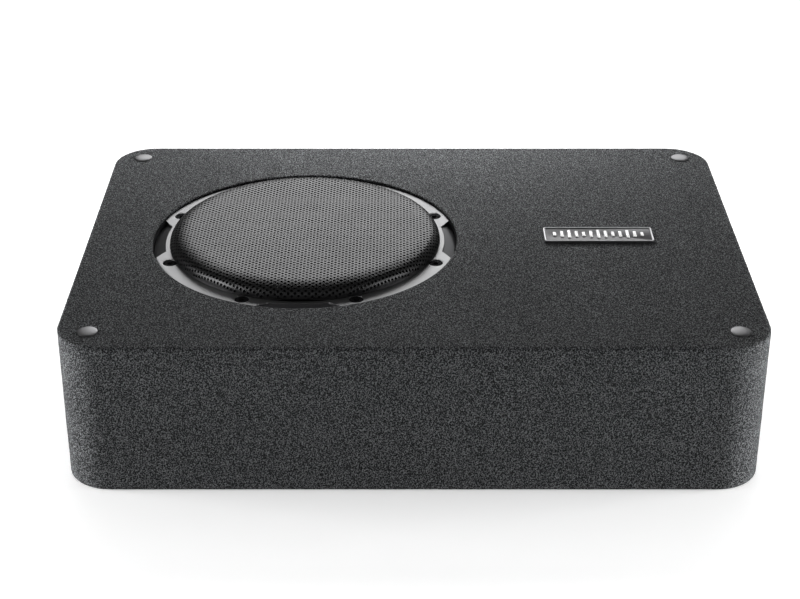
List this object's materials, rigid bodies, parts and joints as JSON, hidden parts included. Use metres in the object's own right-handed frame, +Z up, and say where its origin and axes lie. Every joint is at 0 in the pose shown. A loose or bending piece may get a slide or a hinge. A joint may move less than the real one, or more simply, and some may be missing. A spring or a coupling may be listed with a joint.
{
  "type": "powered car subwoofer",
  "caption": "Flat fabric-covered powered car subwoofer with a top-firing woofer under a perforated grille and a recessed rear control panel.",
  "frame": {"origin": "centre of the underside, on the surface that the box rests on", "axes": "+X along the long side towards the badge, +Y from the front to the control panel, +Z up"},
  "size_m": [0.445, 0.313, 0.1112],
  "materials": {
    "fabric": "short-pile charcoal carpet",
    "board": "raw fibreboard",
    "satin_metal": "satin",
    "bright_metal": "polished",
    "casting": "satin silver",
    "black_steel": "satin black powder coat",
    "steel": "zinc plated",
    "ferrite": "dull",
    "rubber": "matte",
    "foam": "matte foam",
    "cone_paper": "pressed paper",
    "spider_cloth": "resin-stiffened weave",
    "copper": "enamelled copper",
    "plastic": "fine moulded grain",
    "circuit": "solder mask",
    "sleeve": "gloss sleeve",
    "fuse_plastic": "clear tinted",
    "light": "clear tinted",
    "wadding": "loose polyester"
  },
  "bodies": {
    "cabinet": {"amp_board": "circuit", "amp_cover": "satin_metal", "amp_panel": "black_steel", "back_plate": "steel", "back_wall": "board", "badge_frame": "bright_metal", "badge_plate": "satin_metal", "baffle_board": "board", "bottom_board": "board", "bottom_fabric": "fabric", "capacitor_left": "sleeve", "capacitor_right": "sleeve", "choke": "copper", "corner_cap_back_left": "satin_metal", "corner_cap_back_right": "satin_metal", "corner_cap_front_left": "satin_metal", "corner_cap_front_right": "satin_metal", "damping_pad": "wadding", "front_wall": "board", "fuse": "fuse_plastic", "grille": "black_steel", "grille_ring": "plastic", "left_wall": "board", "line_input": "plastic", "magnet": "ferrite", "panel_screw_1": "black_steel", "panel_screw_2": "black_steel", "panel_screw_3": "black_steel", "panel_screw_4": "black_steel", "power_light": "light", "power_terminal": "plastic", "right_wall": "board", "side_fabric": "fabric", "speaker_cable": "rubber", "spider": "spider_cloth", "surround": "rubber", "terminal_strip": "plastic", "tinsel_lead_back": "copper", "tinsel_lead_front": "copper", "top_fabric": "fabric", "top_plate": "steel", "woofer_basket": "casting", "woofer_gasket": "foam", "woofer_screw_1": "black_steel", "woofer_screw_2": "black_steel", "woofer_screw_3": "black_steel", "woofer_screw_4": "black_steel", "woofer_screw_5": "black_steel", "woofer_screw_6": "black_steel", "woofer_screw_7": "black_steel", "woofer_screw_8": "black_steel"},
    "cone_assembly": {"cone": "cone_paper", "dust_cap": "cone_paper", "coil_former": "satin_metal", "coil_winding": "copper"},
    "level": {"level_knob": "plastic"},
    "lowpass": {"lowpass_knob": "plastic"},
    "boost": {"boost_knob": "plastic"},
    "phase": {"phase_switch": "plastic"}
  },
  "joints": [
    {"name": "cone_travel", "type": "slide", "parent": "cabinet", "child": "cone_assembly", "axis": [0, 0, 1], "range_m": [-0.006, 0.006], "stiffness_N_per_m": 2500, "deforming": ["surround", "spider", "tinsel_lead_front", "tinsel_lead_back"]},
    {"name": "level_turn", "type": "hinge", "parent": "cabinet", "child": "level", "pos_m": [0.12, 0.142, 0.0615], "axis": [0, 1, 0], "range_deg": [-140, 140]},
    {"name": "lowpass_turn", "type": "hinge", "parent": "cabinet", "child": "lowpass", "pos_m": [0.094, 0.142, 0.0615], "axis": [0, 1, 0], "range_deg": [-140, 140]},
    {"name": "boost_turn", "type": "hinge", "parent": "cabinet", "child": "boost", "pos_m": [0.068, 0.142, 0.0615], "axis": [0, 1, 0], "range_deg": [-140, 140]},
    {"name": "phase_slide", "type": "slide", "parent": "cabinet", "child": "phase", "axis": [1, 0, 0], "range_m": [0, 0.003]}
  ]
}
